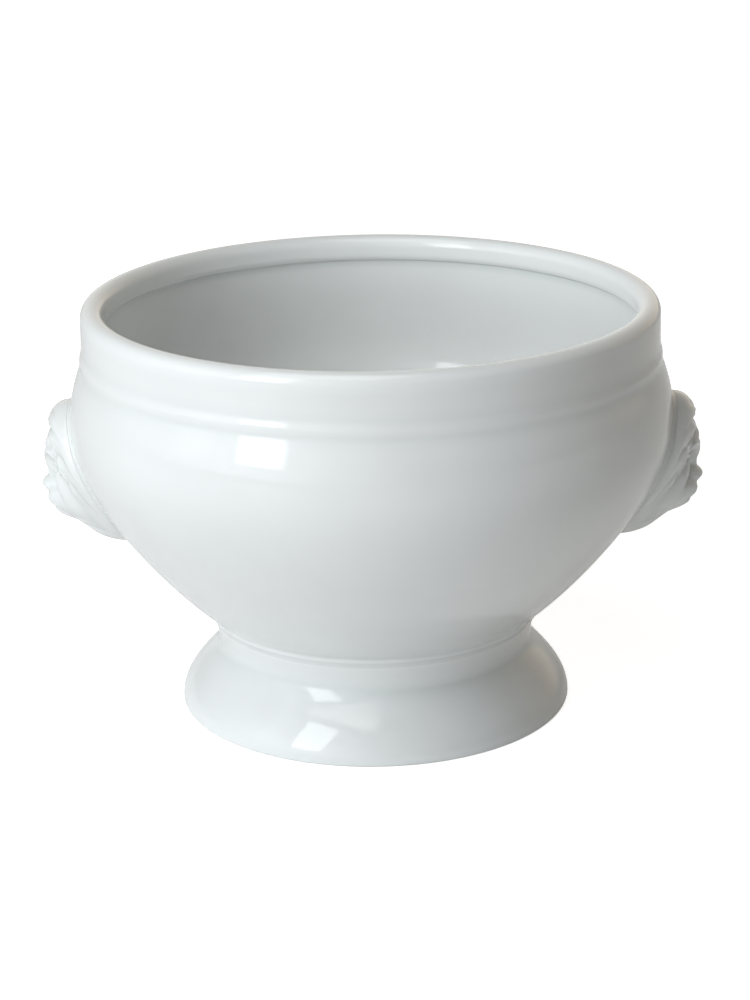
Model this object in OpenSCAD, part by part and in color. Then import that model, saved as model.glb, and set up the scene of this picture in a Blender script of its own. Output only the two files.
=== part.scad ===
// Serving bowl on a pedestal foot, with a lion head on each side as a grip.
// Four clay pieces, joined with thin beds of slip before they are glazed and fired.
// The foot stands on Z = 0, the bowl is round about Z, and the heads look along +X and -X.

/* [Bowl] */
// Outside diameter of the rim
rim_diameter = 220; // [180:1:260]
// Height from the table to the top of the rim
bowl_height = 161; // [145:1:190]
// Diameter of the underside that sits on the foot
seat_diameter = 130; // [118:1:150]
// How far the belly stands out beyond the rim
belly_swell = 5.6; // [2:0.1:9]
// How lean the belly is on its way down to the seat
belly_lean = 0.69; // [0.2:0.01:1.2]
// Height of the shoulder, from the widest level up to the collar
shoulder_height = 23.8; // [18:0.2:32]
// Height of the straight collar, with the rim
collar_height = 22; // [18:0.2:28]
// Softness of the corner between shoulder and collar
collar_softness = 1.2; // [0.3:0.1:2]
// Thickness of the wall
wall = 6.5; // [5:0.25:8]
// Thickness of the floor
floor_thickness = 7.5; // [6:0.5:12]
// Softness of the corner between floor and belly
floor_round = 12; // [6:1:20]
// Height of the upright edge between the seat and the belly
seat_height = 2.4; // [1.6:0.1:4]
// Rounding of the edge of the underside
seat_round = 1.2; // [0.6:0.1:1.5]

/* [Rim and collar] */
// How far the bead of the rim stands in from the wall
bead_proud = 2.4; // [1:0.1:4]
// Height of the rim with its bead
bead_height = 10.4; // [9:0.2:14]
// Height over which the bead turns back to the wall
bead_turn = 3.2; // [1.5:0.1:4]
// Distance of the middle of the raised band above the foot of the collar
band_rise = 2; // [1:0.1:6]
// Height of the raised band
band_height = 4.6; // [3:0.2:7]
// How far the band stands out from the collar
band_proud = 0.7; // [0.2:0.05:1.5]

/* [Foot] */
// Outside diameter of the foot on the table
foot_diameter = 153; // [138:1:180]
// Height of the foot
foot_height = 35.5; // [28:0.5:44]
// Height of the cove, from the waist up to the bowl
cove_height = 10; // [4:0.5:14]
// How far the top of the foot stays back from the edge of the seat
seat_step = 1.4; // [0.6:0.1:3]
// How far the waist is drawn in from the top of the foot
waist_depth = 2; // [0.5:0.1:5]
// Fullness of the round base, as a share of the curve's height
base_fullness = 0.44; // [0.2:0.02:0.6]
// Fullness of the hollow above it, as a share of the curve's height
hollow_fullness = 0.22; // [0.1:0.02:0.6]
// Thickness of the foot's wall
foot_wall = 7; // [5:0.25:10]
// Width of the ring that stands on the table
ring_width = 7; // [5:0.25:10]
// Rounding of the lower edge
foot_edge = 0.8; // [0.6:0.1:3]

/* [Lion heads] */
// Height of a head with its mane
head_height = 56.2; // [44:0.2:68]
// Width of a head with its mane
head_width = 50; // [40:0.5:60]
// How far the nose stands out from the wall
head_relief = 18.6; // [14:0.1:24]
// Distance of a head's middle below the widest level of the belly
head_drop = 22.1; // [16:0.1:34]
// Thickness of a head at its edge
head_edge = 0.8; // [0.4:0.1:2]
// Locks of mane on each side of a face
locks = 6; // [4:1:9]
// How many locks lie side by side across the mane
lock_sweep = 2.5; // [1:0.1:3]

/* [Slip joints] */
// Thickness of the slip between two pieces
slip = 0.8; // [0.4:0.1:1.5]
// How far the slip of a head shows round its edge
slip_fillet = 0.8; // [0:0.1:1.5]
// How far the slip of the foot stays back from the edges of its seat
slip_recess = 0.4; // [0.2:0.1:1.5]
// Clearance between a modelled head and its bed of slip
head_clearance = 0.02; // [0.01:0.01:0.1]

/* [Smoothness] */
// Straight steps in a long curve
curve_steps = 26; // [12:1:40]
// Straight steps in a short curve
round_steps = 10; // [6:2:16]
// Rays across a head
head_rays = 88; // [48:4:96]
// Rings from the middle of a head to its edge
head_rings = 28; // [16:1:30]
// Rings across the back of a head
back_rings = 8; // [6:1:12]

/* [Hidden] */
$fn = 96;
porcelain = [0.93, 0.945, 0.945];
slip_white = [0.88, 0.89, 0.88];

rim_radius = rim_diameter / 2;
rim_width = wall + bead_proud;
inner_radius = rim_radius - wall;
belly_radius = rim_radius + soft_max(belly_swell, 0, collar_softness);
shoulder_radius = (pow(shoulder_height, 2) + pow(belly_swell, 2)) / (2 * belly_swell);
seat_radius = seat_diameter / 2;
foot_radius = foot_diameter / 2;
foot_top_radius = seat_radius - seat_step;
waist_radius = foot_top_radius - waist_depth;
foot_inner_radius = waist_radius - foot_wall;

waist_z = foot_height - cove_height;
seat_z = foot_height + slip;
floor_z = seat_z + floor_thickness;
belly_start_z = seat_z + seat_height;
bead_z = bowl_height - bead_height;
collar_z = bowl_height - collar_height;
belly_z = collar_z - shoulder_height;
band_z = collar_z + band_rise;

head_z = belly_z - head_drop;
head_x = belly_radius_at(head_z);
head_aspect = head_width / head_height;
nose_relief = 105;
relief_unit = head_relief / nose_relief;

// Points along an arc round a centre
function arc(centre, radius, from, to, steps) =
    [for (i = [0 : steps]) let (a = from + (to - from) * i / steps) centre + radius * [cos(a), sin(a)]];

// Points along a cubic curve
function cubic(a, b, c, d, steps) =
    [for (i = [0 : steps]) let (t = i / steps, s = 1 - t)
        s * s * s * a + 3 * s * s * t * b + 3 * s * t * t * c + t * t * t * d];

// The points of a list after its first
function after_first(points) = [for (i = [1 : len(points) - 1]) points[i]];

// The larger of two heights, with a soft change from one to the other
function soft_max(a, b, softness) = (a + b + sqrt(pow(a - b, 2) + softness * softness)) / 2;

// A soft step from 0 to 1 between two values
function soft_step(from, to, x) = let (t = min(1, max(0, (x - from) / (to - from)))) t * t * (3 - 2 * t);

// A bell curve of height 1 with its top at 0
function bell(x) = exp(-x * x);

// Radius of the round shoulder, which runs softly into the straight collar
function shoulder_radius_at(z) =
    let (fall = shoulder_radius - sqrt(max(0, pow(shoulder_radius, 2) - pow(z - belly_z, 2))))
    rim_radius + soft_max(belly_swell - fall, 0, collar_softness);

// How far the belly is drawn in, from 0 at the widest level to 1 at the seat
function belly_taper(way) = way * way * (1 + belly_lean * pow(1 - way, 1.5));

// Outside radius of the bowl at a height between the edge of the seat and the rim
function belly_radius_at(z) = z < belly_z
    ? belly_radius - (belly_radius - seat_radius) * belly_taper((belly_z - z) / (belly_z - belly_start_z))
    : shoulder_radius_at(z) + band_proud * bell(2 * (z - band_z) / band_height);

// Inside radius of the belly, with the wall measured square to its lean
function inner_radius_at(z) =
    let (lean = belly_radius_at(z + 0.5) - belly_radius_at(z - 0.5))
    belly_radius_at(z) - wall * sqrt(1 + lean * lean);

// Outside of the belly, from the edge of the seat to the widest level
belly_points = [for (i = [0 : curve_steps - 1])
    let (z = belly_z - (belly_z - belly_start_z) * (1 - sin(90 * i / curve_steps)))
    [belly_radius_at(z), z]];

// Outside of the shoulder and the collar, up to the rim
shoulder_points = [for (i = [0 : 2 * curve_steps])
    let (z = belly_z + (bead_z - belly_z) * i / (2 * curve_steps))
    [belly_radius_at(z), z]];

seat_points = arc([seat_radius - seat_round, seat_z + seat_round], seat_round, -90, 0, round_steps);

rim_points = arc(
    [rim_radius - rim_width / 2, bowl_height - rim_width / 2],
    rim_width / 2, 0, 180, 2 * round_steps
);

// Underside of the bead, which turns out to the wall
bead_points = [for (i = [0 : round_steps]) let (a = 90 * i / round_steps)
    [inner_radius - bead_proud * cos(a), bead_z + bead_turn * (1 - sin(a))]];

// Inside of the collar and the shoulder, which swing out to the widest level
inner_shoulder_points = [for (i = [1 : 2 * round_steps])
    let (z = bead_z - (bead_z - belly_z) * i / (2 * round_steps))
    [inner_radius + (belly_radius - rim_radius) * (1 - soft_step(belly_z, bead_z, z)), z]];

// Inside of the belly, down to the rounding of the floor
floor_round_z = floor_z + floor_round;
inner_belly_points = [for (i = [1 : curve_steps])
    let (z = belly_z - (belly_z - floor_round_z) * i / curve_steps)
    [inner_radius_at(z), z]];

floor_corner = [inner_radius_at(floor_z), floor_z];
floor_points = cubic(
    [inner_radius_at(floor_round_z), floor_round_z],
    floor_corner + [floor_round, floor_round] / 3,
    floor_corner - [floor_round / 2, 0],
    floor_corner - [2 * floor_round, 0],
    round_steps
);

module bowl_body() {
    color(porcelain)
        rotate_extrude()
            polygon(concat(
                [[0, seat_z]],
                seat_points,
                belly_points,
                shoulder_points,
                rim_points,
                bead_points,
                inner_shoulder_points,
                inner_belly_points,
                after_first(floor_points),
                [[0, floor_z]]
            ));
}

module pedestal_foot() {
    rise = waist_z - foot_edge;
    ring_radius = foot_radius - ring_width;
    base_edge = arc([foot_radius - foot_edge, foot_edge], foot_edge, -90, 0, round_steps);
    outside = cubic(
        [foot_radius, foot_edge],
        [foot_radius, foot_edge + base_fullness * rise],
        [waist_radius, waist_z - hollow_fullness * rise],
        [waist_radius, waist_z],
        curve_steps
    );
    cove = [for (i = [1 : round_steps]) let (t = i / round_steps)
        [waist_radius + waist_depth * t * t, waist_z + cove_height * t]];
    inside = cubic(
        [foot_inner_radius, waist_z],
        [foot_inner_radius, waist_z - hollow_fullness * rise],
        [ring_radius, base_fullness * rise],
        [ring_radius, 0],
        curve_steps
    );
    color(porcelain)
        rotate_extrude()
            polygon(concat(
                base_edge,
                after_first(outside),
                cove,
                [[foot_inner_radius, foot_height]],
                inside
            ));
}

module foot_slip_joint() {
    color(slip_white)
        translate([0, 0, foot_height])
            difference() {
                cylinder(h = slip, r = foot_top_radius - slip_recess);
                translate([0, 0, -slip])
                    cylinder(h = 3 * slip, r = foot_inner_radius + slip_recess);
            }
}

// A head is drawn in hundredths: u of its width from the middle line and v of its height from the middle.
// Relief over the wall is drawn in units, nose_relief of them at the tip of the nose.
// An angle of 90 is the crown and 270 the beard.

// How far down a head an angle points, from 0 at the crown to 1 at the beard
function way_down(angle) = abs((angle + 90) % 360 - 180) / 180;

// Place across a lock of mane, from 0 at one side to 1 at the other
function lock_place(across, down) =
    let (phase = locks * down - lock_sweep * (across + 0.1 * sin(360 * across)) + 0.3)
    phase - floor(phase);

// A point of the drawing, at a share of the way from the middle to the outline
function drawn_point(angle, share) =
    50 * share * [cos(angle) * (1 + 0.1 * sin(angle)), sin(angle)];

// Relief of a rounded bump with its top at [u, v, relief]
function bump(u, v, top, half, fall) =
    top[2] - fall * (pow((u - top[0]) / half[0], 2) + pow((v - top[1]) / half[1], 2));

// Squared distance to a straight span, and the relief of the nearest point on it
function span(u, v, a, b) =
    let (
        along = [(b[0] - a[0]) * head_aspect, b[1] - a[1]],
        t = [(u - a[0]) * head_aspect, v - a[1]] * along / (along * along),
        p = a + min(1, max(0, t)) * (b - a)
    )
    [pow((u - p[0]) * head_aspect, 2) + pow(v - p[1], 2), p[2]];

// The same for a path of spans
function nearest(u, v, path, i = 0) =
    let (here = span(u, v, path[i], path[i + 1]))
    i == len(path) - 2 ? here
        : let (next = nearest(u, v, path, i + 1)) here[0] < next[0] ? here : next;

// Relief of a ridge along a path, and depth of a groove along one
function ridge(u, v, path, half, fall) = let (n = nearest(u, v, path)) n[1] - fall * n[0] / (half * half);
function groove(u, v, path, half, depth) = depth * exp(-nearest(u, v, path)[0] / (half * half));

// Relief of the mane over the wall behind it: long locks that sweep down and out from the face
function mane(share, angle) =
    let (
        up = sin(angle),
        crown = soft_step(0.45, 0.95, up),
        beard = soft_step(0.8, 1, -up),
        face_edge = 0.55 + 0.07 * up * up,
        across = (share - face_edge) / (1 - face_edge),
        inner = 42 + 6 * soft_step(0.2, 1, -up) - 22 * soft_step(0.75, 1, -up),
        outer = 26 + 14 * crown + 20 * beard,
        lock = pow(sin(180 * pow(lock_place(across, way_down(angle)), 0.7)), 0.7) - 0.55
    )
    inner + (outer - inner) * soft_step(0.12, 0.6, across)
        + 4 * (1 - crown) * bell((across - 0.05) / 0.1)
        - 8 * bell((across + 0.08) / 0.1)
        + 11 * lock * soft_step(0, 0.25, across) * (1 - 0.65 * soft_step(0.4, 0.85, across));

brow_path = [[5, 13, 95], [11, 17.5, 94], [18, 17.5, 84], [23, 13, 68], [26, 6, 57]];
cheek_path = [[18.5, 2, 70], [23, -5, 64], [24, -15, 51], [19, -24, 36]];
fold_path = [[8.5, 1, 0], [15, -3.5, 0], [20.5, -11, 0], [21.5, -19, 0]];
mouth_path = [[0, -20.5, 0], [5, -21.8, 0], [12, -22, 0], [18, -24.5, 0]];
lip_path = [[0, -13, 0], [0, -20.5, 0]];
forelock_path = [[0, 47, 56], [0, 42, 70], [0, 35, 68], [0, 29, 66]];
beard_paths = [
    [[0, -29, 56], [0, -38, 8], [0, -48, -42]],
    [[8, -28, 52], [10.5, -37.5, 6], [7.5, -47, -38]],
    [[15, -26, 47], [19, -34, 6], [15.5, -44, -32]]
];

// Forehead with its two swellings and the furrow between them
function forehead(u, v) =
    let (
        base = 66 - 22 * pow(u / 25, 2) - (v < 2 ? 36 : 17) * pow((v - 2) / 27, 2),
        dome = bump(u, v, [0, 20, 91], [19, 11], 20),
        swelling = bump(u, v, [6.5, 21.5, 92], [6.5, 7], 9)
    )
    soft_max(soft_max(base, dome, 4), swelling, 3)
        - 4 * bell(u / 2) * soft_step(15, 19, v) * (1 - soft_step(27, 31, v));

// Upper face: forehead, brows, the bridge of the nose and the cheeks
function upper_face(u, v) =
    let (
        brow = ridge(u, v, brow_path, 3.4, 11.5),
        bridge = bump(u, v, [0, 11, 98], [8.5, 10], 13),
        snout = bump(u, v, [0, 0, 91], [9, 11], 12),
        cheek = ridge(u, v, cheek_path, 5.6, 13)
    )
    soft_max(soft_max(soft_max(soft_max(forehead(u, v), brow, 2.5), bridge, 3), snout, 3), cheek, 4)
        - groove(u, v, fold_path, 2, 6);

// An eye in its socket, drawn along a line that slants up and out
function with_eye(u, v, relief) =
    let (
        x = cos(18) * (u - 15) * head_aspect + sin(18) * (v - 9.5),
        y = cos(18) * (v - 9.5) - sin(18) * (u - 15) * head_aspect
    )
    soft_max(relief - 14 * bell(x / 6) * bell(y / 3.5), bump(x, y, [0, -0.2, 74], [4.6, 2.6], 11.5), 1.3);

// Lower face: whisker pads, nose, chin, mouth and the locks of the beard
function with_muzzle(u, v, relief) =
    let (
        pad = bump(u, v, [10.2, -15, 91], [10, 7.6], 16.5),
        nose = bump(u, v, [0, -7.5, nose_relief], [9.2, 5], 12.5),
        wing = bump(u, v, [6.8, -8.6, 97], [3.6, 3], 7),
        nostril = 7 * bell((u - 4) / 2) * bell((v + 12) / 1.1),
        chin = bump(u, v, [0, -25.5, 80], [10.4, 4.2], 14),
        snout = soft_max(soft_max(soft_max(relief, pad, 3), nose, 2.6), wing, 2) - nostril,
        carved = groove(u, v, mouth_path, 1.5, 10) + groove(u, v, lip_path, 1.2, 7),
        beard = max([for (path = beard_paths) ridge(u, v, path, 4.2, 10.4)])
    )
    soft_max(soft_max(snout, chin, 2.6) - carved, beard, 2);

function face(u, v) =
    soft_max(with_muzzle(u, v, with_eye(u, v, upper_face(u, v))), ridge(u, v, forelock_path, 4.2, 11.5), 1.5);

// Distance from the middle plane to a surface that lies over the wall
function wall_x(y, z, over) = sqrt(pow(belly_radius_at(z) + over, 2) - y * y);

// A point on the back of a head, and the point in front of it
function back_point(angle, share) =
    let (
        p = drawn_point(angle, share),
        y = p[0] * head_width / 100,
        z = head_z + p[1] * head_height / 100
    )
    [wall_x(y, z, slip + head_clearance), y, z];

function front_point(angle, share) =
    let (
        p = drawn_point(angle, share),
        back = back_point(angle, share),
        mane_x = back[0] + relief_unit * mane(share, angle),
        face_x = head_x + relief_unit * face(abs(p[0]), p[1]),
        proud = soft_max(mane_x, face_x, 3 * relief_unit) - back[0] - head_edge,
        edge_width = 0.2 - 0.1 * soft_step(25, 45, -p[1]),
        rounding = sqrt(1 - pow(max(0, share - 1 + edge_width) / edge_width, 2))
    )
    [back[0] + head_edge + max(0, proud) * rounding, back[1], back[2]];

module lion_head() {
    front = concat(
        [front_point(0, 0)],
        [for (j = [1 : head_rings]) for (i = [0 : head_rays - 1])
            front_point(360 * i / head_rays, j / head_rings)]
    );
    back = concat(
        [back_point(0, 0)],
        [for (j = [1 : back_rings]) for (i = [0 : head_rays - 1])
            back_point(360 * i / head_rays, j / back_rings)]
    );
    first_back = len(front);
    front_edge = 1 + (head_rings - 1) * head_rays;
    back_edge = first_back + 1 + (back_rings - 1) * head_rays;
    faces = [for (i = [0 : head_rays - 1]) let (n = (i + 1) % head_rays) each concat(
        [[0, 1 + n, 1 + i], [first_back, first_back + 1 + i, first_back + 1 + n]],
        [for (j = [0 : head_rings - 2]) let (a = 1 + j * head_rays, b = a + head_rays)
            each [[a + i, a + n, b + n], [a + i, b + n, b + i]]],
        [for (j = [0 : back_rings - 2]) let (a = first_back + 1 + j * head_rays, b = a + head_rays)
            each [[a + i, b + n, a + n], [a + i, b + i, b + n]]],
        [[front_edge + i, front_edge + n, back_edge + n], [front_edge + i, back_edge + n, back_edge + i]]
    )];
    polyhedron(concat(front, back), faces);
}

// A bed of slip on the belly, a little larger than a head's outline
module head_slip_bed() {
    share = 1 + 2 * slip_fillet / head_width;
    bed = [for (p = concat(belly_points, shoulder_points)) if (abs(p[1] - head_z) < head_height) p];
    intersection() {
        rotate_extrude()
            polygon(concat(bed, [for (i = [len(bed) - 1 : -1 : 0]) bed[i] + [slip, 0]]));
        rotate([90, 0, 90])
            linear_extrude(2 * belly_radius)
                polygon([for (i = [0 : head_rays - 1]) let (p = drawn_point(360 * i / head_rays, share))
                    [p[0] * head_width / 100, head_z + p[1] * head_height / 100]]);
    }
}

module right_lion_head() {
    color(porcelain)
        lion_head();
}

module left_lion_head() {
    color(porcelain)
        mirror([1, 0, 0])
            lion_head();
}

module right_head_slip_joint() {
    color(slip_white)
        head_slip_bed();
}

module left_head_slip_joint() {
    color(slip_white)
        mirror([1, 0, 0])
            head_slip_bed();
}

bowl_body();
pedestal_foot();
foot_slip_joint();
left_lion_head();
left_head_slip_joint();
right_lion_head();
right_head_slip_joint();
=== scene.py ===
"""White porcelain serving bowl with a lion head on each side, dressed over the frame's solids.

Shapes are worked out in millimetres in the frame's axes and scaled to metres when a mesh is made. The
sizes are those of the part's source. The scene adds what glaze and carving leave on them: softened
edges, fillets at the joints, strands in the mane and whisker marks.
"""

import math

import bpy
import numpy as np
from mathutils import Matrix, Vector


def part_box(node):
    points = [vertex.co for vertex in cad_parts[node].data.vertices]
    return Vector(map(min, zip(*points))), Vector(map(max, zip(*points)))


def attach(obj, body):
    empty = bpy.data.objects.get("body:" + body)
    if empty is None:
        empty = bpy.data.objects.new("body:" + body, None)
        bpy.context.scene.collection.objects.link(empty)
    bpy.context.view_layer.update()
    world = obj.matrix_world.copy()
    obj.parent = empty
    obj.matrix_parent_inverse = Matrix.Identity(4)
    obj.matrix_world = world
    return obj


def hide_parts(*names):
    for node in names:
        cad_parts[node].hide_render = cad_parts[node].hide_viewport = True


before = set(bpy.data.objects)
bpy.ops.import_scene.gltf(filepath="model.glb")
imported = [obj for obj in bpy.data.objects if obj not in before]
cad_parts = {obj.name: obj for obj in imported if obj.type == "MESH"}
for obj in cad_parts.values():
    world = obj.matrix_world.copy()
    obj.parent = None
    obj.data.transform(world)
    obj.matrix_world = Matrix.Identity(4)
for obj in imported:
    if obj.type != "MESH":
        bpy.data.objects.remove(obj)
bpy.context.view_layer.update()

MM = 0.001


def node_box(node):
    """Lowest and highest corner of a node, in millimetres."""
    low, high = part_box(node)
    return np.array(low) / MM, np.array(high) / MM


# Sizes that the frame gives
bowl_low, bowl_high = node_box("bowl_body")
foot_high = node_box("pedestal_foot")[1]
head_low, head_high = node_box("right_lion_head")
BOWL_HEIGHT = bowl_high[2]
BELLY_RADIUS = bowl_high[0]
SEAT_Z = bowl_low[2]
FOOT_RADIUS = foot_high[0]
FOOT_HEIGHT = foot_high[2]
SLIP = SEAT_Z - FOOT_HEIGHT
HEAD_HEIGHT = head_high[2] - head_low[2]
HEAD_Z = (head_high[2] + head_low[2]) / 2

# Sizes of the bowl
RIM_RADIUS = 110.0
SEAT_RADIUS = 65.0
SEAT_HEIGHT = 2.4
SEAT_ROUND = 1.2
BELLY_LEAN = 0.69
LEAN_POWER = 1.5
BELLY_SWELL = 5.6
SHOULDER_HEIGHT = 23.8
COLLAR_HEIGHT = 22.0
COLLAR_SOFTNESS = 1.2
WALL = 6.5
FLOOR_THICKNESS = 7.5
FLOOR_ROUND = 12.0
BEAD_PROUD = 2.4
BEAD_HEIGHT = 10.4
BEAD_TURN = 3.2
BAND_RISE = 2.0
BAND_HEIGHT = 4.6
BAND_PROUD = 0.7

# Sizes of the foot
SEAT_STEP = 1.4
COVE_HEIGHT = 10.0
WAIST_DEPTH = 2.0
BASE_FULLNESS = 0.44
HOLLOW_FULLNESS = 0.22
FOOT_WALL = 7.0
RING_WIDTH = 7.0
FOOT_EDGE = 0.8
SLIP_RECESS = 0.4
BARE_RING_HEIGHT = 0.4

# Sizes of a head
HEAD_WIDTH = 50.0
HEAD_RELIEF = 18.6
HEAD_EDGE = 0.8
HEAD_CLEARANCE = 0.02
LOCKS = 6
LOCK_SWEEP = 2.5

# Fillet of glaze between foot and bowl: its height below the seat, how far its lower edge is sunk and
# its upper edge set back, how hollow it is, how far it climbs the seat's rounding, and how deep the
# slip behind it starts
SEAM_FILLET = 1.6
SEAM_SUNK = 0.05
SEAM_SETBACK = 0.12
SEAM_HOLLOW = 0.12
SEAM_CLIMB = 0.6
SEAM_BED = 1.0

# Fillet of glaze round a head: its width, how far its outer edge is sunk into the belly, how much of
# the head's edge it climbs, how deep its back lies, and the rings of slip that it leaves from
HEAD_FILLET = 0.9
HEAD_FILLET_SUNK = 0.04
HEAD_FILLET_CLIMB = 0.8
HEAD_FILLET_ROOT = 0.1
SLIP_SHARES = [0.5, 0.98]

# Glaze: how far it softens edges, how wide a hollow is measured where it pools and is darkened as
# painted shade, and how deep the fillets count as for that pooling and painted shade
GLAZE_SOFTNESS = 0.45
GLAZE_HOLLOW_REACH = 2.2
HEAD_SOFTNESS = 0.38
HEAD_HOLLOW_REACH = 1.1
FILLET_POOL_AND_SHADE_DEPTH = 0.1

# Fineness of the meshes
TURNS = 256
PROFILE_STEP = 0.1
SEAM_STEP = 0.2
SAME_PLACE = 1e-6
MOST_TURN = math.radians(4)
MOST_RUN = 4.0
HEAD_STEP = 0.2
HEAD_RAYS = 320
HEAD_RINGS = 120
BACK_RINGS = 10
FILLET_RINGS = 10

RIM_WIDTH = WALL + BEAD_PROUD
INNER_RADIUS = RIM_RADIUS - WALL
FOOT_TOP_RADIUS = SEAT_RADIUS - SEAT_STEP
WAIST_RADIUS = FOOT_TOP_RADIUS - WAIST_DEPTH
FOOT_INNER_RADIUS = WAIST_RADIUS - FOOT_WALL
WAIST_Z = FOOT_HEIGHT - COVE_HEIGHT
FLOOR_Z = SEAT_Z + FLOOR_THICKNESS
BELLY_START_Z = SEAT_Z + SEAT_HEIGHT
BEAD_Z = BOWL_HEIGHT - BEAD_HEIGHT
COLLAR_Z = BOWL_HEIGHT - COLLAR_HEIGHT
BELLY_Z = COLLAR_Z - SHOULDER_HEIGHT
BAND_Z = COLLAR_Z + BAND_RISE
SHOULDER_RADIUS = (SHOULDER_HEIGHT ** 2 + BELLY_SWELL ** 2) / (2 * BELLY_SWELL)
HEAD_ASPECT = HEAD_WIDTH / HEAD_HEIGHT


# Curves and blends

def soft_max(a, b, softness):
    """The larger of two heights, with a soft change from one to the other."""
    return (a + b + np.sqrt((a - b) ** 2 + softness ** 2)) / 2


def soft_step(start, end, x):
    """A soft step from 0 to 1 between two values."""
    t = np.clip((x - start) / (end - start), 0, 1)
    return t * t * (3 - 2 * t)


def bell(x):
    """A bell curve: 1 in the middle, and almost 0 from 2 on."""
    return np.exp(-x * x)


def blurred(values, sigma):
    """Values along the first axis, softened with a bell curve; the ends are continued."""
    reach = max(1, int(math.ceil(3 * sigma)))
    weights = np.exp(-0.5 * (np.arange(-reach, reach + 1) / sigma) ** 2)
    weights /= weights.sum()
    ends = [(reach, reach)] + [(0, 0)] * (values.ndim - 1)
    padded = np.pad(values, ends, mode="reflect", reflect_type="odd")
    count = len(values)
    return sum(w * padded[k:k + count] for k, w in enumerate(weights))


def cubic(a, b, c, d, steps=60):
    """Points along a cubic Bezier curve."""
    t = np.linspace(0, 1, steps)[:, None]
    a, b, c, d = (np.array(p, float) for p in (a, b, c, d))
    return (1 - t) ** 3 * a + 3 * (1 - t) ** 2 * t * b + 3 * (1 - t) * t ** 2 * c + t ** 3 * d


def arc(centre, radius, start, end, steps=40):
    """Points along an arc, with its angles in degrees."""
    a = np.radians(np.linspace(start, end, steps))
    return np.stack([centre[0] + radius * np.cos(a), centre[1] + radius * np.sin(a)], 1)


def upright(radius_at, start, end, steps):
    """Points of a profile between two heights, from its radius at each height."""
    z = np.linspace(start, end, steps)
    return np.stack([radius_at(z), z], 1)


# Radii at a height

def shoulder_radius_at(z):
    """Radius of the round shoulder, which runs softly into the straight collar."""
    fall = SHOULDER_RADIUS - np.sqrt(np.clip(SHOULDER_RADIUS ** 2 - (z - BELLY_Z) ** 2, 0, None))
    return RIM_RADIUS + soft_max(BELLY_SWELL - fall, 0, COLLAR_SOFTNESS)


def belly_radius_at(z):
    """Outside radius of the bowl between the edge of its seat and its rim, with the raised band."""
    z = np.asarray(z, float)
    way = np.clip((BELLY_Z - z) / (BELLY_Z - BELLY_START_Z), 0, 1)
    taper = way * way * (1 + BELLY_LEAN * (1 - way) ** LEAN_POWER)
    return np.where(
        z < BELLY_Z,
        BELLY_RADIUS - (BELLY_RADIUS - SEAT_RADIUS) * taper,
        shoulder_radius_at(z) + BAND_PROUD * bell(2 * (z - BAND_Z) / BAND_HEIGHT),
    )


def inner_radius_at(z):
    """Inside radius of the belly, with the wall measured square to its lean."""
    lean = belly_radius_at(z + 0.5) - belly_radius_at(z - 0.5)
    return belly_radius_at(z) - WALL * np.sqrt(1 + lean * lean)


def inner_shoulder_radius_at(z):
    """Inside radius between the bead and the belly."""
    return INNER_RADIUS + (BELLY_RADIUS - RIM_RADIUS) * (1 - soft_step(BELLY_Z, BEAD_Z, z))


def cove_radius(way):
    """Radius of the foot's cove, at a share of the way up from its waist."""
    return WAIST_RADIUS + WAIST_DEPTH * way * way


# Turned pieces

def spaced(points, step):
    """The same line with evenly spaced points."""
    points = np.asarray(points, float)
    lengths = np.hypot(*np.diff(points, axis=0).T)
    points = points[np.concatenate([[True], lengths > SAME_PLACE])]
    along = np.concatenate([[0], np.cumsum(np.hypot(*np.diff(points, axis=0).T))])
    places = np.linspace(0, along[-1], max(3, int(along[-1] / step)))
    return np.stack([np.interp(places, along, points[:, k]) for k in (0, 1)], 1)


def thinned(points, values):
    """Keeps a point wherever the line has turned or run far enough since the last one."""
    steps = np.diff(points, axis=0)
    heading = np.unwrap(np.arctan2(steps[:, 1], steps[:, 0]))
    length = np.hypot(steps[:, 0], steps[:, 1])
    kept, turned, run = [0], 0.0, 0.0
    for k in range(1, len(points) - 1):
        turned += abs(heading[k] - heading[k - 1])
        run += length[k - 1]
        if turned > MOST_TURN or run > MOST_RUN:
            kept.append(k)
            turned, run = 0.0, 0.0
    kept.append(len(points) - 1)
    return points[kept], values[kept]


def glazed_profile(points):
    """A profile with its edges softened by glaze, and how deep each point lies in a hollow."""
    line = blurred(spaced(points, PROFILE_STEP), GLAZE_SOFTNESS / PROFILE_STEP)
    wide = blurred(line, GLAZE_HOLLOW_REACH / PROFILE_STEP)
    along = np.gradient(line, axis=0)
    along /= np.linalg.norm(along, axis=1)[:, None]
    outward = np.stack([along[:, 1], -along[:, 0]], 1)
    # Depth in a hollow: the glaze turns darker there as painted shade, and lighter on edges
    cavity = ((wide - line) * outward).sum(1)
    return thinned(line, cavity)


def mesh_piece(name, points, faces, materials, cavity, face_material=None):
    """A smooth mesh object from points in millimetres, with the depth of its hollows."""
    mesh = bpy.data.meshes.new(name)
    mesh.from_pydata((np.asarray(points) * MM).tolist(), [], faces)
    for material in materials:
        mesh.materials.append(material)
    mesh.polygons.foreach_set("use_smooth", np.ones(len(mesh.polygons), bool))
    if face_material is not None:
        mesh.polygons.foreach_set("material_index", np.asarray(face_material, np.int32))
    layer = mesh.attributes.new("cavity", "FLOAT", "POINT")
    layer.data.foreach_set("value", np.asarray(cavity, np.float32))
    mesh.update()
    piece = bpy.data.objects.new(name, mesh)
    bpy.context.scene.collection.objects.link(piece)
    return piece


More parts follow.
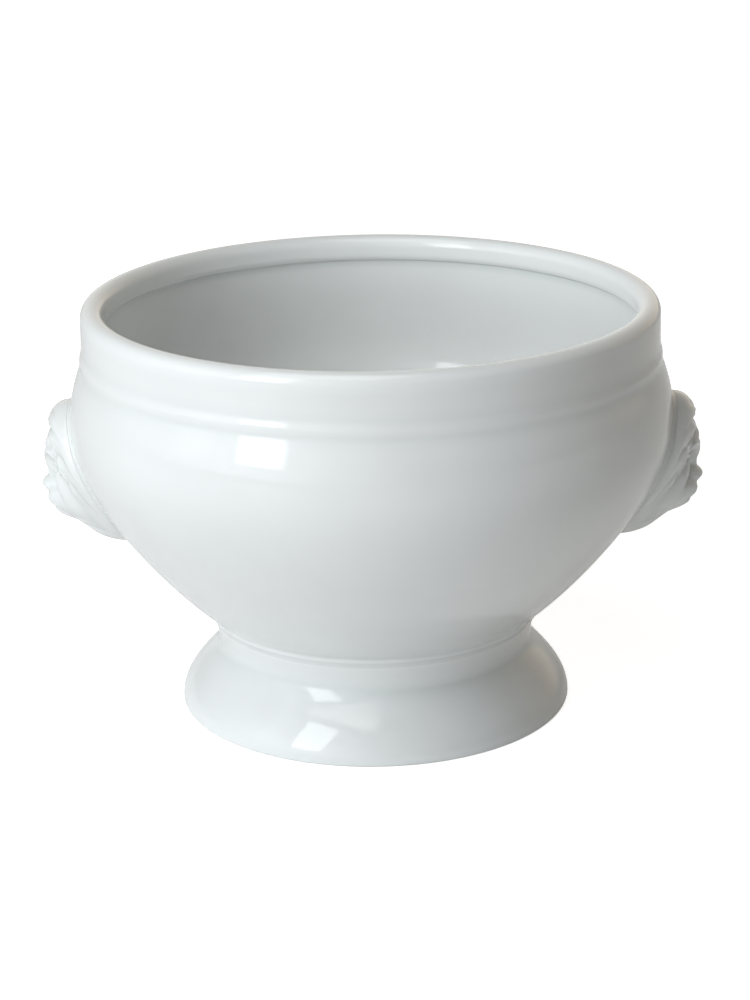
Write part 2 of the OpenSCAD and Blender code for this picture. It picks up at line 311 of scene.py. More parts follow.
def turned_piece(name, profile, cavity, materials, closed, bare_below=None):
    """A profile turned about Z. An open one starts and ends on the axis.

    Faces that lie wholly below a height can take the second material.
    """
    angles = 2 * np.pi * np.arange(TURNS) / TURNS
    rings = profile if closed else profile[1:-1]
    depth = cavity if closed else cavity[1:-1]
    points = np.stack([
        np.outer(rings[:, 0], np.cos(angles)),
        np.outer(rings[:, 0], np.sin(angles)),
        np.outer(rings[:, 1], np.ones(TURNS)),
    ], -1).reshape(-1, 3)
    depths = np.repeat(depth, TURNS)
    count = len(rings)
    faces = []
    for j in range(count if closed else count - 1):
        a, b = j * TURNS, (j + 1) % count * TURNS
        faces += [(a + i, a + (i + 1) % TURNS, b + (i + 1) % TURNS, b + i) for i in range(TURNS)]
    if not closed:
        first, last = len(points), len(points) + 1
        points = np.vstack([points, [[0, 0, profile[0][1]], [0, 0, profile[-1][1]]]])
        depths = np.concatenate([depths, [0, 0]])
        top = (count - 1) * TURNS
        faces += [(first, (i + 1) % TURNS, i) for i in range(TURNS)]
        faces += [(last, top + i, top + (i + 1) % TURNS) for i in range(TURNS)]
    bare = None
    if bare_below is not None:
        bare = [int(all(points[k][2] < bare_below for k in face)) for face in faces]
    return mesh_piece(name, points, faces, materials, depths, bare)


def bowl_profile():
    """From the middle of the underside, out and up to the rim, and down inside to the floor's middle."""
    seat = arc((SEAT_RADIUS - SEAT_ROUND, SEAT_Z + SEAT_ROUND), SEAT_ROUND, -90, 0)
    belly = upright(belly_radius_at, BELLY_START_Z, BEAD_Z, 400)
    rim = arc((RIM_RADIUS - RIM_WIDTH / 2, BOWL_HEIGHT - RIM_WIDTH / 2), RIM_WIDTH / 2, 0, 180, 80)
    a = np.radians(np.linspace(0, 90, 40))
    bead = np.stack([INNER_RADIUS - BEAD_PROUD * np.cos(a), BEAD_Z + BEAD_TURN * (1 - np.sin(a))], 1)
    inner_shoulder = upright(inner_shoulder_radius_at, BEAD_Z, BELLY_Z, 100)
    inner_belly = upright(inner_radius_at, BELLY_Z, FLOOR_Z + FLOOR_ROUND, 200)
    corner = np.array([float(inner_radius_at(FLOOR_Z)), FLOOR_Z])
    floor_edge = cubic(
        inner_belly[-1],
        corner + FLOOR_ROUND / 3,
        corner - (FLOOR_ROUND / 2, 0),
        corner - (2 * FLOOR_ROUND, 0),
    )
    return np.vstack([
        [[0, SEAT_Z]], seat, belly, rim, bead, inner_shoulder, inner_belly, floor_edge, [[0, FLOOR_Z]],
    ])


def foot_profile():
    """Round the foot's wall, from the standing ring out, up and back down inside."""
    rise = WAIST_Z - FOOT_EDGE
    ring = FOOT_RADIUS - RING_WIDTH
    edge = arc((FOOT_RADIUS - FOOT_EDGE, FOOT_EDGE), FOOT_EDGE, -90, 0)
    outside = cubic(
        (FOOT_RADIUS, FOOT_EDGE),
        (FOOT_RADIUS, FOOT_EDGE + BASE_FULLNESS * rise),
        (WAIST_RADIUS, WAIST_Z - HOLLOW_FULLNESS * rise),
        (WAIST_RADIUS, WAIST_Z),
    )
    way = np.linspace(0, 1, 40)
    cove = np.stack([cove_radius(way), WAIST_Z + COVE_HEIGHT * way], 1)
    inside = cubic(
        (FOOT_INNER_RADIUS, WAIST_Z),
        (FOOT_INNER_RADIUS, WAIST_Z - HOLLOW_FULLNESS * rise),
        (ring, BASE_FULLNESS * rise),
        (ring, 0),
    )
    middle = [[(ring + FOOT_RADIUS) / 2, 0]]
    return np.vstack([
        middle, edge, outside, cove, [[FOOT_INNER_RADIUS, FOOT_HEIGHT]], inside, middle,
    ])


def seam_profile():
    """Round the ring of slip between foot and bowl, with the fillet of glaze that hides it."""
    inner = FOOT_INNER_RADIUS + SLIP_RECESS
    bed = FOOT_TOP_RADIUS - SEAM_BED
    low = np.array([cove_radius(1 - SEAM_FILLET / COVE_HEIGHT) - SEAM_SUNK, FOOT_HEIGHT - SEAM_FILLET])
    high = np.array([SEAT_RADIUS - SEAM_SETBACK, SEAT_Z + SEAM_CLIMB * SEAT_ROUND])
    t = np.linspace(0, 1, 24)
    fillet = low + (high - low) * t[:, None]
    fillet[:, 0] -= SEAM_HOLLOW * np.sin(np.pi * t)
    return np.vstack([
        [[inner, FOOT_HEIGHT], [bed, FOOT_HEIGHT]],
        fillet,
        [[bed, SEAT_Z], [inner, SEAT_Z], [inner, FOOT_HEIGHT]],
    ])


# Lion heads, drawn in hundredths: u of the width from the middle line, v of the height from the middle,
# and relief over the wall in units, NOSE_RELIEF of them at the tip of the nose. An angle of 90 is the
# crown and 270 the beard. Paths hold points (u, v, relief).

DRAWN_HALF = 50
DRAWN_START, DRAWN_END = -54, 54.01
NOSE_RELIEF = 105
RELIEF_UNIT = HEAD_RELIEF / NOSE_RELIEF
CROWN_SPREAD = 0.1
SPREAD_ROUNDS = 12
LOCK_CURL = 0.1
LOCK_START = 0.3
FACE_SOFTNESS = 3
EDGE_ROUND = 0.2
BEARD_EDGE_ROUND = 0.1
EYE = (15, 9.5)
EYE_SLANT = math.radians(18)
WHISKER_SIZE = 0.65
WHISKER_DEPTH = 2

BROW = [(5, 13, 95), (11, 17.5, 94), (18, 17.5, 84), (23, 13, 68), (26, 6, 57)]
CHEEK = [(18.5, 2, 70), (23, -5, 64), (24, -15, 51), (19, -24, 36)]
FOLD = [(8.5, 1, 0), (15, -3.5, 0), (20.5, -11, 0), (21.5, -19, 0)]
MOUTH = [(0, -20.5, 0), (5, -21.8, 0), (12, -22, 0), (18, -24.5, 0)]
LIP = [(0, -13, 0), (0, -20.5, 0)]
FORELOCK = [(0, 47, 56), (0, 42, 70), (0, 35, 68), (0, 29, 66)]
BEARD = [
    [(0, -29, 56), (0, -38, 8), (0, -48, -42)],
    [(8, -28, 52), (10.5, -37.5, 6), (7.5, -47, -38)],
    [(15, -26, 47), (19, -34, 6), (15.5, -44, -32)],
]
WHISKERS = [(7.4, -13), (11.6, -12.2), (15.8, -13), (8.4, -16.4), (12.7, -16), (16.5, -17.3)]


def bump(u, v, top, half, fall):
    """A rounded bump with its top at (u, v, relief)."""
    return top[2] - fall * (((u - top[0]) / half[0]) ** 2 + ((v - top[1]) / half[1]) ** 2)


def smooth_path(points, steps=10):
    """A curve through the points of a path."""
    points = np.array(points, float)
    before = np.vstack([points[:1], points[:-1]])[:-1]
    after = np.vstack([points[2:], points[-1:]])
    out = []
    for p0, p1, p2, p3 in zip(before, points[:-1], points[1:], after):
        for t in np.arange(steps) / steps:
            out.append(0.5 * (
                2 * p1 + (p2 - p0) * t
                + (2 * p0 - 5 * p1 + 4 * p2 - p3) * t ** 2
                + (3 * p1 - p0 - 3 * p2 + p3) * t ** 3
            ))
    return out + [points[-1]]


def nearest(u, v, path):
    """Squared distance to a path, and the relief of the nearest point on it."""
    path = smooth_path(path)
    best = np.full(np.shape(u), np.inf)
    relief = np.zeros(np.shape(u))
    for a, b in zip(path[:-1], path[1:]):
        along = b - a
        t = ((u - a[0]) * along[0] * HEAD_ASPECT ** 2 + (v - a[1]) * along[1])
        t = np.clip(t / ((along[0] * HEAD_ASPECT) ** 2 + along[1] ** 2), 0, 1)
        distance = ((u - a[0] - t * along[0]) * HEAD_ASPECT) ** 2 + (v - a[1] - t * along[1]) ** 2
        closer = distance < best
        best = np.where(closer, distance, best)
        relief = np.where(closer, a[2] + t * along[2], relief)
    return best, relief


def ridge(u, v, path, half, fall):
    """Relief of a rounded ridge along a path."""
    distance, relief = nearest(u, v, path)
    return relief - fall * distance / half ** 2


def groove(u, v, path, half, depth):
    """Depth of a groove along a path."""
    return depth * np.exp(-nearest(u, v, path)[0] / half ** 2)


def with_forms(relief, *forms):
    """A relief with more forms raised from it, each given with the softness of its edge."""
    for form, softness in forms:
        relief = soft_max(relief, form, softness)
    return relief


def spread(a):
    """How much wider than round the outline is at an angle in radians: most at the crown."""
    return 1 + CROWN_SPREAD * np.sin(a)


def drawn_point(angle, share):
    """A point of the drawing, at a share of the way from the middle to the outline."""
    a = np.radians(angle)
    return DRAWN_HALF * share * np.cos(a) * spread(a), DRAWN_HALF * share * np.sin(a)


def angle_and_share(u, v):
    """The angle and share at which a point of the drawing lies."""
    a = np.arctan2(v, u)
    for _ in range(SPREAD_ROUNDS):
        a = np.arctan2(v, u / spread(a))
    return np.degrees(a) % 360, np.hypot(v, u / spread(a)) / DRAWN_HALF


def way_down(angle):
    """How far down a head an angle points, from 0 at the crown to 1 at the beard."""
    return np.abs((angle + 90) % 360 - 180) / 180


def lock_place(across, down):
    """Place across a lock of mane, from 0 at one side to 1 at the other."""
    curl = across + LOCK_CURL * np.sin(2 * np.pi * across)
    return (LOCKS * down - LOCK_SWEEP * curl + LOCK_START) % 1


def mane(share, angle):
    """Relief of the mane: a roll at the crown, and long locks down both sides to the beard."""
    up = np.sin(np.radians(angle))
    crown = soft_step(0.45, 0.95, up)
    beard = soft_step(0.8, 1, -up)
    face_edge = 0.55 + 0.07 * up * up
    across = (share - face_edge) / (1 - face_edge)

    inner = 42 + 6 * soft_step(0.2, 1, -up) - 22 * soft_step(0.75, 1, -up)
    outer = 26 + 14 * crown + 20 * beard
    slope = inner + (outer - inner) * soft_step(0.12, 0.6, across)
    ruff = 4 * bell((across - 0.05) / 0.1) * (1 - crown)
    parting = 8 * bell((across + 0.08) / 0.1)
    roll = 7 * bell((across - 0.5) / 0.13) - 6 * bell((across - 0.24) / 0.1)

    place = lock_place(across, way_down(angle))
    lock = np.sin(np.pi * place ** 0.7) ** 0.7 - 0.55
    strands = np.cos(6 * np.pi * place) * soft_step(0.05, 0.3, place) * soft_step(0, 0.3, 1 - place)
    rise = soft_step(0, 0.25, across)
    fade = 1 - 0.65 * soft_step(0.4, 0.85, across)
    return (
        slope + ruff - parting
        + roll * (1 - crown) * (1 - beard)
        + (11 * lock + 0.9 * strands) * rise * fade
    )


def forehead(u, v):
    """Forehead and cheeks, with two swellings over the brows and the furrow between them."""
    oval = 66 - 22 * (u / 25) ** 2 - np.where(v < 2, 36, 17) * ((v - 2) / 27) ** 2
    dome = bump(u, v, (0, 20, 91), (19, 11), 20)
    swelling = bump(u, v, (6.5, 21.5, 92), (6.5, 7), 9)
    furrow = 4 * bell(u / 2) * soft_step(15, 19, v) * (1 - soft_step(27, 31, v))
    return with_forms(oval, (dome, 4), (swelling, 3)) - furrow


def upper_face(u, v):
    """Forehead, brows, the bridge of the nose and the cheeks."""
    brow = ridge(u, v, BROW, 3.4, 11.5)
    bridge = bump(u, v, (0, 11, 98), (8.5, 10), 13)
    snout = bump(u, v, (0, 0, 91), (9, 11), 12)
    cheek = ridge(u, v, CHEEK, 5.6, 13)
    fold = groove(u, v, FOLD, 2, 6)
    return with_forms(forehead(u, v), (brow, 2.5), (bridge, 3), (snout, 3), (cheek, 4)) - fold


def with_eye(u, v, relief):
    """An eye with lids and pupil in its socket, along a line that slants up and out."""
    du, dv = (u - EYE[0]) * HEAD_ASPECT, v - EYE[1]
    x = math.cos(EYE_SLANT) * du + math.sin(EYE_SLANT) * dv
    y = math.cos(EYE_SLANT) * dv - math.sin(EYE_SLANT) * du
    socket = 14 * bell(x / 6) * bell(y / 3.5)
    ball = bump(x, y, (0, -0.2, 74), (4.6, 2.6), 11.5)
    within = 1 - soft_step(4.5, 6, np.abs(x))
    upper_lid = 3.2 * bell((y - 2.4 + 0.1 * x * x) / 0.9) * within
    lower_lid = 2 * bell((y + 2.2 - 0.085 * x * x) / 0.8) * within
    pupil = 3 * bell(x / 1.4) * bell((y + 0.1) / 1.4)
    return soft_max(relief - socket, ball, 1.3) + upper_lid + lower_lid - pupil


def with_muzzle(u, v, relief):
    """Whisker pads, nose, chin, mouth, whisker marks and the locks of the beard."""
    pad = bump(u, v, (10.2, -15, 91), (10, 7.6), 16.5)
    nose = bump(u, v, (0, -7.5, NOSE_RELIEF), (9.2, 5), 12.5)
    wing = bump(u, v, (6.8, -8.6, 97), (3.6, 3), 7)
    nostril = 7 * bell((u - 4) / 2) * bell((v + 12) / 1.1)
    chin = bump(u, v, (0, -25.5, 80), (10.4, 4.2), 14)
    relief = with_forms(relief, (pad, 3), (nose, 2.6), (wing, 2)) - nostril
    relief = soft_max(relief, chin, 2.6)
    relief = relief - groove(u, v, MOUTH, 1.5, 10) - groove(u, v, LIP, 1.2, 7)
    for mark_u, mark_v in WHISKERS:
        du, dv = (u - mark_u) * HEAD_ASPECT, v - mark_v
        relief = relief - WHISKER_DEPTH * bell(du / WHISKER_SIZE) * bell(dv / WHISKER_SIZE)
    return with_forms(relief, *((ridge(u, v, path, 4.2, 10.4), 2) for path in BEARD))


def face(u, v):
    """Relief of the whole face, with the forelock."""
    relief = with_muzzle(u, v, with_eye(u, v, upper_face(u, v)))
    return soft_max(relief, ridge(u, v, FORELOCK, 5, 11.5), 2)


def wall_x(y, z, over):
    """Distance from the middle plane to a surface that lies over the bowl's wall."""
    return np.sqrt((belly_radius_at(z) + over) ** 2 - y * y)


def head_back(u, v, over=SLIP + HEAD_CLEARANCE):
    """A point on the back of a head, or over the wall at another height."""
    y = u * HEAD_WIDTH / 100
    z = HEAD_Z + v * HEAD_HEIGHT / 100
    return np.stack([wall_x(y, z, over), y, z], -1)


def softened(field, reach):
    """A field softened along both its axes, as far as a reach in millimetres."""
    sigma = reach / HEAD_STEP
    return blurred(blurred(field, sigma).T, sigma).T


def head_relief_field():
    """Height of a head over its back on a grid of the drawing, softened by glaze, and its hollows."""
    u = np.arange(DRAWN_START, DRAWN_END, 100 * HEAD_STEP / HEAD_WIDTH)
    v = np.arange(DRAWN_START, DRAWN_END, 100 * HEAD_STEP / HEAD_HEIGHT)
    grid_u, grid_v = np.meshgrid(u, v, indexing="ij")
    angle, share = angle_and_share(grid_u, grid_v)
    back = head_back(grid_u, grid_v)[..., 0]
    mane_x = back + RELIEF_UNIT * mane(share, angle)
    face_x = float(belly_radius_at(HEAD_Z)) + RELIEF_UNIT * face(np.abs(grid_u), grid_v)
    proud = softened(soft_max(mane_x, face_x, FACE_SOFTNESS * RELIEF_UNIT) - back, HEAD_SOFTNESS)
    # The hollows of the head, which the glaze darkens as painted shade
    return u, v, proud, softened(proud, HEAD_HOLLOW_REACH) - proud


def sampled(field, grid_u, grid_v, u, v):
    """Values of a grid at points between its lines."""
    x = (u - grid_u[0]) / (grid_u[1] - grid_u[0])
    y = (v - grid_v[0]) / (grid_v[1] - grid_v[0])
    i, j = x.astype(int), y.astype(int)
    s, t = x - i, y - j
    return (
        field[i, j] * (1 - s) * (1 - t) + field[i + 1, j] * s * (1 - t)
        + field[i, j + 1] * (1 - s) * t + field[i + 1, j + 1] * s * t
    )


def polar_grid(shares):
    """Drawn points and shares of a middle point and of rings round it at the given shares."""
    angle = 360 * np.arange(HEAD_RAYS) / HEAD_RAYS
    grid_angle = np.tile(angle, len(shares))
    grid_share = np.repeat(shares, HEAD_RAYS)
    u, v = drawn_point(grid_angle, grid_share)
    return np.concatenate([[0], u]), np.concatenate([[0], v]), np.concatenate([[0], grid_share])


def ring_faces(first, rings):
    """Faces of rings of points round a middle point, which comes first."""
    faces = []
    for i in range(HEAD_RAYS):
        n = (i + 1) % HEAD_RAYS
        faces.append((first, first + 1 + i, first + 1 + n))
        for j in range(rings - 1):
            a = first + 1 + j * HEAD_RAYS
            b = a + HEAD_RAYS
            faces.append((a + i, b + i, b + n, a + n))
    return faces


def shell_faces(front_rings, back_rings):
    """Faces of a closed shell: the rings of its front, those of its back, and the edge between them."""
    first = 1 + front_rings * HEAD_RAYS
    edge = first - HEAD_RAYS
    back_edge = first + 1 + (back_rings - 1) * HEAD_RAYS
    faces = ring_faces(0, front_rings)
    faces += [face[::-1] for face in ring_faces(first, back_rings)]
    for i in range(HEAD_RAYS):
        n = (i + 1) % HEAD_RAYS
        faces.append((edge + i, back_edge + i, back_edge + n, edge + n))
    return faces


def lion_head_mesh():
    """Points, faces and hollows of the right head."""
    grid_u, grid_v, proud, cavity = head_relief_field()
    u, v, share = polar_grid(np.arange(1, HEAD_RINGS + 1) / HEAD_RINGS)
    height = sampled(proud, grid_u, grid_v, u, v)
    width = EDGE_ROUND - (EDGE_ROUND - BEARD_EDGE_ROUND) * soft_step(-25, -45, v)
    rounding = np.sqrt(1 - (np.clip(share - 1 + width, 0, width) / width) ** 2)
    front = head_back(u, v)
    front[:, 0] += HEAD_EDGE + np.clip(height - HEAD_EDGE, 0, None) * rounding
    back_u, back_v, _ = polar_grid(np.arange(1, BACK_RINGS + 1) / BACK_RINGS)
    back = head_back(back_u, back_v)
    depth = sampled(cavity, grid_u, grid_v, u, v) * (1 - soft_step(0.9, 1, share))
    hollows = np.concatenate([depth, np.zeros(len(back))])
    return np.vstack([front, back]), shell_faces(HEAD_RINGS, BACK_RINGS), hollows


def slip_fillet_mesh():
    """Points, faces and hollows of the slip behind the right head, with a fillet out to the belly."""
    out = 2 * HEAD_FILLET / HEAD_WIDTH
    t = np.linspace(0, 1, FILLET_RINGS)
    climb = (SLIP + HEAD_FILLET_CLIMB * HEAD_EDGE) * (1 - np.sqrt(1 - (1 - t) ** 2))
    shares = np.concatenate([SLIP_SHARES, 1 + out * t])
    over = np.concatenate([[SLIP] * len(SLIP_SHARES), climb - HEAD_FILLET_SUNK])
    u, v, _ = polar_grid(shares)
    top = head_back(u, v, np.concatenate([[SLIP], np.repeat(over, HEAD_RAYS)]))
    base_shares = SLIP_SHARES + [1 + out]
    u, v, _ = polar_grid(base_shares)
    points = np.vstack([top, head_back(u, v, -HEAD_FILLET_ROOT)])
    # The fillet takes a fixed hollow depth, so the glaze darkens it a little: painted shade, partly
    # pooled glaze
    return points, shell_faces(len(shares), len(base_shares)), np.full(len(points), FILLET_POOL_AND_SHADE_DEPTH)


# Materials, with sizes in millimetres and colours as linear values

GLAZE = (0.848, 0.86, 0.856, 1)
GLAZE_CLOUD = tuple(0.97 * c for c in GLAZE[:3]) + (1,)
GLAZE_THIN = (0.865, 0.88, 0.877, 1)
# Cooler, darker grey of glaze pooled in hollows; part of the darkening is painted shade
POOLED_AND_SHADED_GLAZE = (0.71, 0.745, 0.735, 1)
GLAZE_SPECK = (0.42, 0.38, 0.33, 1)
GLAZE_WAVES = 0.035
THROWING_RINGS = 0.012
CLAY = (0.80, 0.78, 0.74, 1)
CLAY_STAIN = (0.62, 0.59, 0.54, 1)
CLAY_PITS = 0.06


def node_maker(tree):
    """A function that adds a node, sets its sockets and properties, and links what is a socket."""
    def add(kind, inputs=None, **properties):
        made = tree.nodes.new(kind)
        for key, value in properties.items():
            setattr(made, key, value)
        for key, value in (inputs or {}).items():
            if isinstance(value, bpy.types.NodeSocket):
                tree.links.new(value, made.inputs[key])
            else:
                made.inputs[key].default_value = value
        return made
    return add


def new_material(name):
    """An empty material, and the function that adds nodes to it."""
    material = bpy.data.materials.new(name)
    material.use_nodes = True
    material.node_tree.nodes.clear()
    return material, node_maker(material.node_tree)


def mixed(add, factor, a, b):
    """A colour between two colours."""
    return add("ShaderNodeMix", {0: factor, 6: a, 7: b}, data_type="RGBA").outputs[2]


def ranged(add, value, given, wanted):
    """A value moved from a given range to a wanted one, and kept within it."""
    inputs = {0: value, 1: given[0], 2: given[1], 3: wanted[0], 4: wanted[1]}
    return add("ShaderNodeMapRange", inputs).outputs[0]


def worked_out(add, operation, a, b):
    """The result of an operation on two values."""
    return add("ShaderNodeMath", {0: a, 1: b}, operation=operation).outputs[0]


def noise(add, place, scale, detail):
    """Soft noise between 0 and 1."""
    return add("ShaderNodeTexNoise", {"Vector": place, "Scale": scale, "Detail": detail}).outputs[0]


def bumped(add, height, size, **under):
    """A normal that follows a height, over another normal if one is given."""
    inputs = {"Strength": 1.0, "Distance": size * MM, "Height": height, **under}
    return add("ShaderNodeBump", inputs).outputs[0]


def glaze_material():
    """White gloss glaze: cloudy in depth, cooler where it pools and darker in hollows as painted shade,
    thinner on edges, faintly wavy.
    """
    material, add = new_material("white_glaze")
    place = add("ShaderNodeTexCoord").outputs["Object"]
    flat = add("ShaderNodeMapping", {"Vector": place, "Scale": (5.0, 5.0, 150.0)}).outputs[0]
    clouds = noise(add, place, scale=22.0, detail=3.0)
    waves = noise(add, place, scale=48.0, detail=1.5)
    rings = noise(add, flat, scale=1.0, detail=2.0)
    grain = noise(add, place, scale=900.0, detail=2.0)
    cells = add("ShaderNodeTexVoronoi", {"Vector": place, "Scale": 75.0, "Randomness": 1.0})
    cavity = add("ShaderNodeAttribute", attribute_name="cavity").outputs["Fac"]

    cloudy = mixed(add, ranged(add, clouds, (0.35, 0.65), (0.0, 1.0)), GLAZE, GLAZE_CLOUD)
    edged = mixed(add, ranged(add, cavity, (-0.02, -0.30), (0.0, 0.8)), cloudy, GLAZE_THIN)
    # Painted shade: hollows are darkened towards a cooler grey, partly glaze pooling and partly painted
    # shade
    pooled_and_shaded = mixed(add, ranged(add, cavity, (0.02, 0.55), (0.0, 1.0)), edged, POOLED_AND_SHADED_GLAZE)
    spot = ranged(add, cells.outputs["Distance"], (0.008, 0.016), (1.0, 0.0))
    tone = add("ShaderNodeSeparateColor", {0: cells.outputs["Color"]}).outputs[0]
    chosen = ranged(add, tone, (0.90, 0.91), (0.0, 0.5))
    colour = mixed(add, worked_out(add, "MULTIPLY", spot, chosen), pooled_and_shaded, GLAZE_SPECK)

    wavy = bumped(add, waves, GLAZE_WAVES)
    shader = add("ShaderNodeBsdfPrincipled", {
        "Base Color": colour,
        "Roughness": ranged(add, grain, (0.3, 0.7), (0.05, 0.11)),
        "IOR": 1.5,
        "Normal": bumped(add, rings, THROWING_RINGS, Normal=wavy),
    })
    add("ShaderNodeOutputMaterial", {"Surface": shader.outputs[0]})
    return material


def bare_material():
    """Fired clay of the standing ring, wiped free of glaze: dull, warm and finely pitted."""
    material, add = new_material("bare_porcelain")
    place = add("ShaderNodeTexCoord").outputs["Object"]
    grain = noise(add, place, scale=700.0, detail=4.0)
    stains = noise(add, place, scale=35.0, detail=4.0)
    shader = add("ShaderNodeBsdfPrincipled", {
        "Base Color": mixed(add, ranged(add, stains, (0.35, 0.75), (0.0, 1.0)), CLAY, CLAY_STAIN),
        "Roughness": ranged(add, grain, (0.3, 0.7), (0.55, 0.75)),
        "Normal": bumped(add, grain, CLAY_PITS),
    })
    add("ShaderNodeOutputMaterial", {"Surface": shader.outputs[0]})
    return material


glaze = glaze_material()
bare = bare_material()


# Pieces

def settle(piece, node):
    """A piece takes the place of a node."""
    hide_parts(node)
    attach(piece, "root")


def side_piece(name, sign, points, faces, hollows):
    """A piece of the right side, or its mirror image on the left with its faces turned round."""
    return mesh_piece(name, points * (sign, 1, 1), [f[::sign] for f in faces], [glaze], hollows)


profile, hollows = glazed_profile(bowl_profile())
profile[0, 0] = profile[-1, 0] = 0
bowl = turned_piece("bowl_body_glazed", profile, hollows, [glaze], closed=False)
settle(bowl, "bowl_body")

profile, hollows = glazed_profile(foot_profile())
foot = turned_piece(
    "pedestal_foot_glazed", profile[:-1], hollows[:-1], [glaze, bare],
    closed=True, bare_below=BARE_RING_HEIGHT,
)
settle(foot, "pedestal_foot")

profile = spaced(seam_profile(), SEAM_STEP)[:-1]
# The seam takes a fixed hollow depth, so the glaze darkens it a little: painted shade, partly pooled
# glaze
hollows = np.full(len(profile), FILLET_POOL_AND_SHADE_DEPTH)
seam = turned_piece("foot_slip_seam", profile, hollows, [glaze], closed=True)
settle(seam, "foot_slip_joint")

head_mesh = lion_head_mesh()
fillet_mesh = slip_fillet_mesh()
for side, sign in (("right", 1), ("left", -1)):
    head = side_piece(side + "_lion_head_relief", sign, *head_mesh)
    settle(head, side + "_lion_head")
    fillet = side_piece(side + "_head_slip_fillet", sign, *fillet_mesh)
    settle(fillet, side + "_head_slip_joint")


# Floor: half its width in metres, its grey, the light that lifts it to white for the camera, and how
# much of that light the glaze reflects

FLOOR_REACH = 6.0
FLOOR_GREY = (0.85, 0.85, 0.85, 1)
FLOOR_LIFT = 0.8
FLOOR_MIRRORED = 0.36


def floor_material():
    """White for the camera and dimmer in reflections, with the bowl's shadow."""
    material, add = new_material("white_floor")
    path = add("ShaderNodeLightPath").outputs
    mirrored = worked_out(add, "MULTIPLY", path["Is Glossy Ray"], FLOOR_MIRRORED)
    seen = worked_out(add, "MAXIMUM", path["Is Camera Ray"], mirrored)
    paper = add("ShaderNodeBsdfDiffuse", {"Color": FLOOR_GREY}).outputs[0]
    lift = add("ShaderNodeEmission", {"Color": (1, 1, 1, 1), "Strength": FLOOR_LIFT}).outputs[0]
    lifted = add("ShaderNodeAddShader", {0: paper, 1: lift}).outputs[0]
    shown = add("ShaderNodeMixShader", {0: seen, 1: paper, 2: lifted}).outputs[0]
    add("ShaderNodeOutputMaterial", {"Surface": shown})
    return material


floor_mesh = bpy.data.meshes.new("floor")
floor_mesh.from_pydata(
    [(x * FLOOR_REACH, y * FLOOR_REACH, 0) for x, y in ((-1, -1), (1, -1), (1, 1), (-1, 1))],
    [], [(0, 1, 2, 3)],
)
floor_mesh.materials.append(floor_material())
floor = bpy.data.objects.new("floor", floor_mesh)
bpy.context.scene.collection.objects.link(floor)


# Light from the sides of the studio: direction, strength and tint. A side fades with a power of how far
# a direction turns from it.

DIAGONAL = 0.707
SIDE_FADE = 4.0
STUDIO_SIDES = [
    ((-DIAGONAL, -DIAGONAL, 0), 1.87, (0.955, 1.0, 1.025)),
    ((0, -1, 0), 0.1, (1.0, 1.0, 1.0)),
    ((-1, 0, 0), 0.45, (0.94, 1.0, 1.03)),
    ((0, 1, 0), 0.8, (1.03, 1.0, 0.94)),
    ((DIAGONAL, DIAGONAL, 0), 0.62, (1.18, 1.0, 0.78)),
]

# Lamps: name, azimuth and elevation in degrees, width and height in metres, watts and tint
DAYLIGHT = (0.945, 1.0, 1.03)
LAMPS = [
    ("key_window", -40, 28, (0.38, 0.85), 4.6, DAYLIGHT),
    ("side_pane", -67, 25, (0.3, 0.85), 0.45, DAYLIGHT),
    ("right_window", 110, 20, (0.4, 0.8), 0.15, (1.0, 1.0, 0.96)),
    ("top_window", -30, 70, (0.8, 0.8), 4.0, (1.0, 1.0, 0.97)),
]
LAMP_DISTANCE = 1.2
LAMP_TARGET = (0, 0, 0.09)


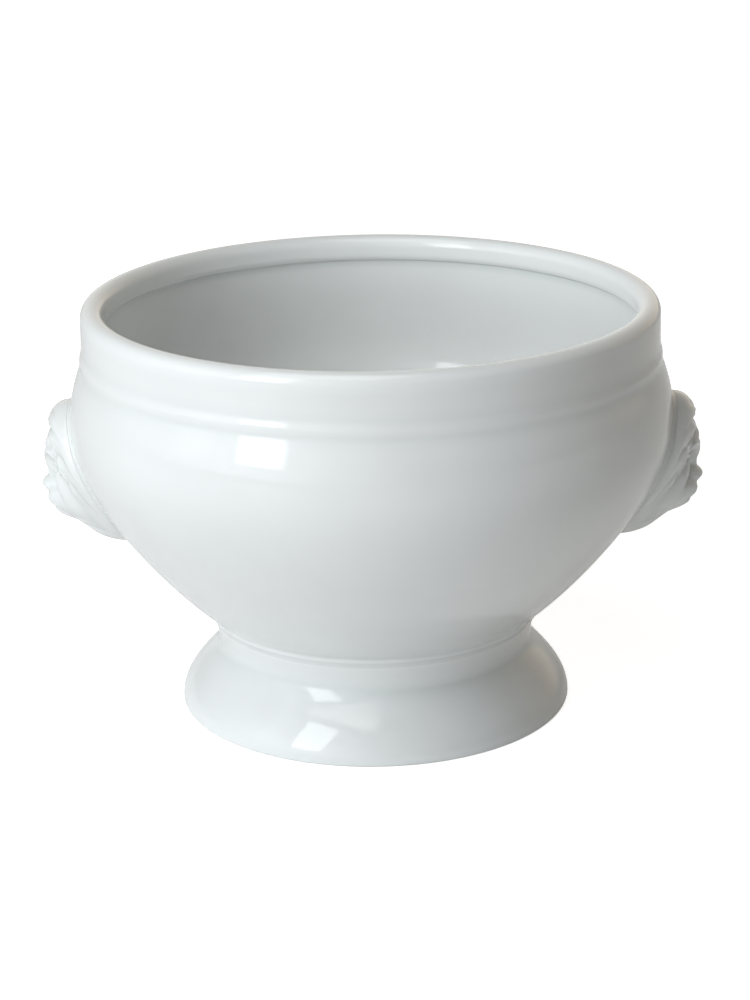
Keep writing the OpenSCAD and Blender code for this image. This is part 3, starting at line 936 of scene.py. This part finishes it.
def studio_world():
    """A world that lights the bowl from the studio's sides and is white for the camera."""
    world = bpy.data.worlds.new("studio")
    world.use_nodes = True
    world.node_tree.nodes.clear()
    add = node_maker(world.node_tree)
    direction = add("ShaderNodeTexCoord").outputs["Generated"]
    studio = (0, 0, 0)
    for side, strength, tint in STUDIO_SIDES:
        turned = add("ShaderNodeVectorMath", {0: direction, 1: side}, operation="DOT_PRODUCT")
        facing = worked_out(add, "MAXIMUM", turned.outputs["Value"], 0.0)
        faded = worked_out(add, "POWER", facing, SIDE_FADE)
        full = [strength * c for c in tint]
        light = add("ShaderNodeVectorMath", {0: full, 3: faded}, operation="SCALE").outputs[0]
        studio = add("ShaderNodeVectorMath", {0: studio, 1: light}, operation="ADD").outputs[0]
    camera_ray = add("ShaderNodeLightPath").outputs["Is Camera Ray"]
    shown = mixed(add, camera_ray, studio, (1, 1, 1, 1))
    background = add("ShaderNodeBackground", {"Color": shown, "Strength": 1.0})
    add("ShaderNodeOutputWorld", {"Surface": background.outputs[0]})
    return world


def area_light(name, azimuth, elevation, size, power, colour):
    """A soft box that looks at the bowl. Azimuth 0 is towards the camera and turns to the right."""
    a, e = math.radians(azimuth), math.radians(elevation)
    out = Vector((math.sin(a) * math.cos(e), -math.cos(a) * math.cos(e), math.sin(e)))
    lamp = bpy.data.lights.new(name, "AREA")
    lamp.shape = "RECTANGLE"
    lamp.size, lamp.size_y = size
    lamp.energy = power
    lamp.color = colour
    light = bpy.data.objects.new(name, lamp)
    light.location = Vector(LAMP_TARGET) + out * LAMP_DISTANCE
    light.rotation_euler = out.to_track_quat("Z", "Y").to_euler()
    bpy.context.scene.collection.objects.link(light)


bpy.context.scene.world = studio_world()
for lamp in LAMPS:
    area_light(*lamp)


# Camera, fitted to the photograph: place in metres, turns in radians, lens and sensor in millimetres

CAMERA_PLACE = (-0.00019, -0.94968, 0.39954)
PITCH, YAW, ROLL = 0.32528, 0.00098, -0.01422
LENS = 92.53
SENSOR_WIDTH = 36

forward = Vector((
    math.sin(YAW) * math.cos(PITCH), math.cos(YAW) * math.cos(PITCH), -math.sin(PITCH),
))
level_right = Vector((math.cos(YAW), -math.sin(YAW), 0))
level_up = level_right.cross(forward)
right = math.cos(ROLL) * level_right + math.sin(ROLL) * level_up
up = math.cos(ROLL) * level_up - math.sin(ROLL) * level_right
turn = Matrix((right, up, -forward)).transposed().to_4x4()
camera = bpy.data.objects.new("camera", bpy.data.cameras.new("camera"))
camera.data.lens = LENS
camera.data.sensor_width = SENSOR_WIDTH
camera.matrix_world = Matrix.Translation(CAMERA_PLACE) @ turn
bpy.context.scene.collection.objects.link(camera)
bpy.context.scene.camera = camera
bpy.context.scene.view_settings.view_transform = "Standard"
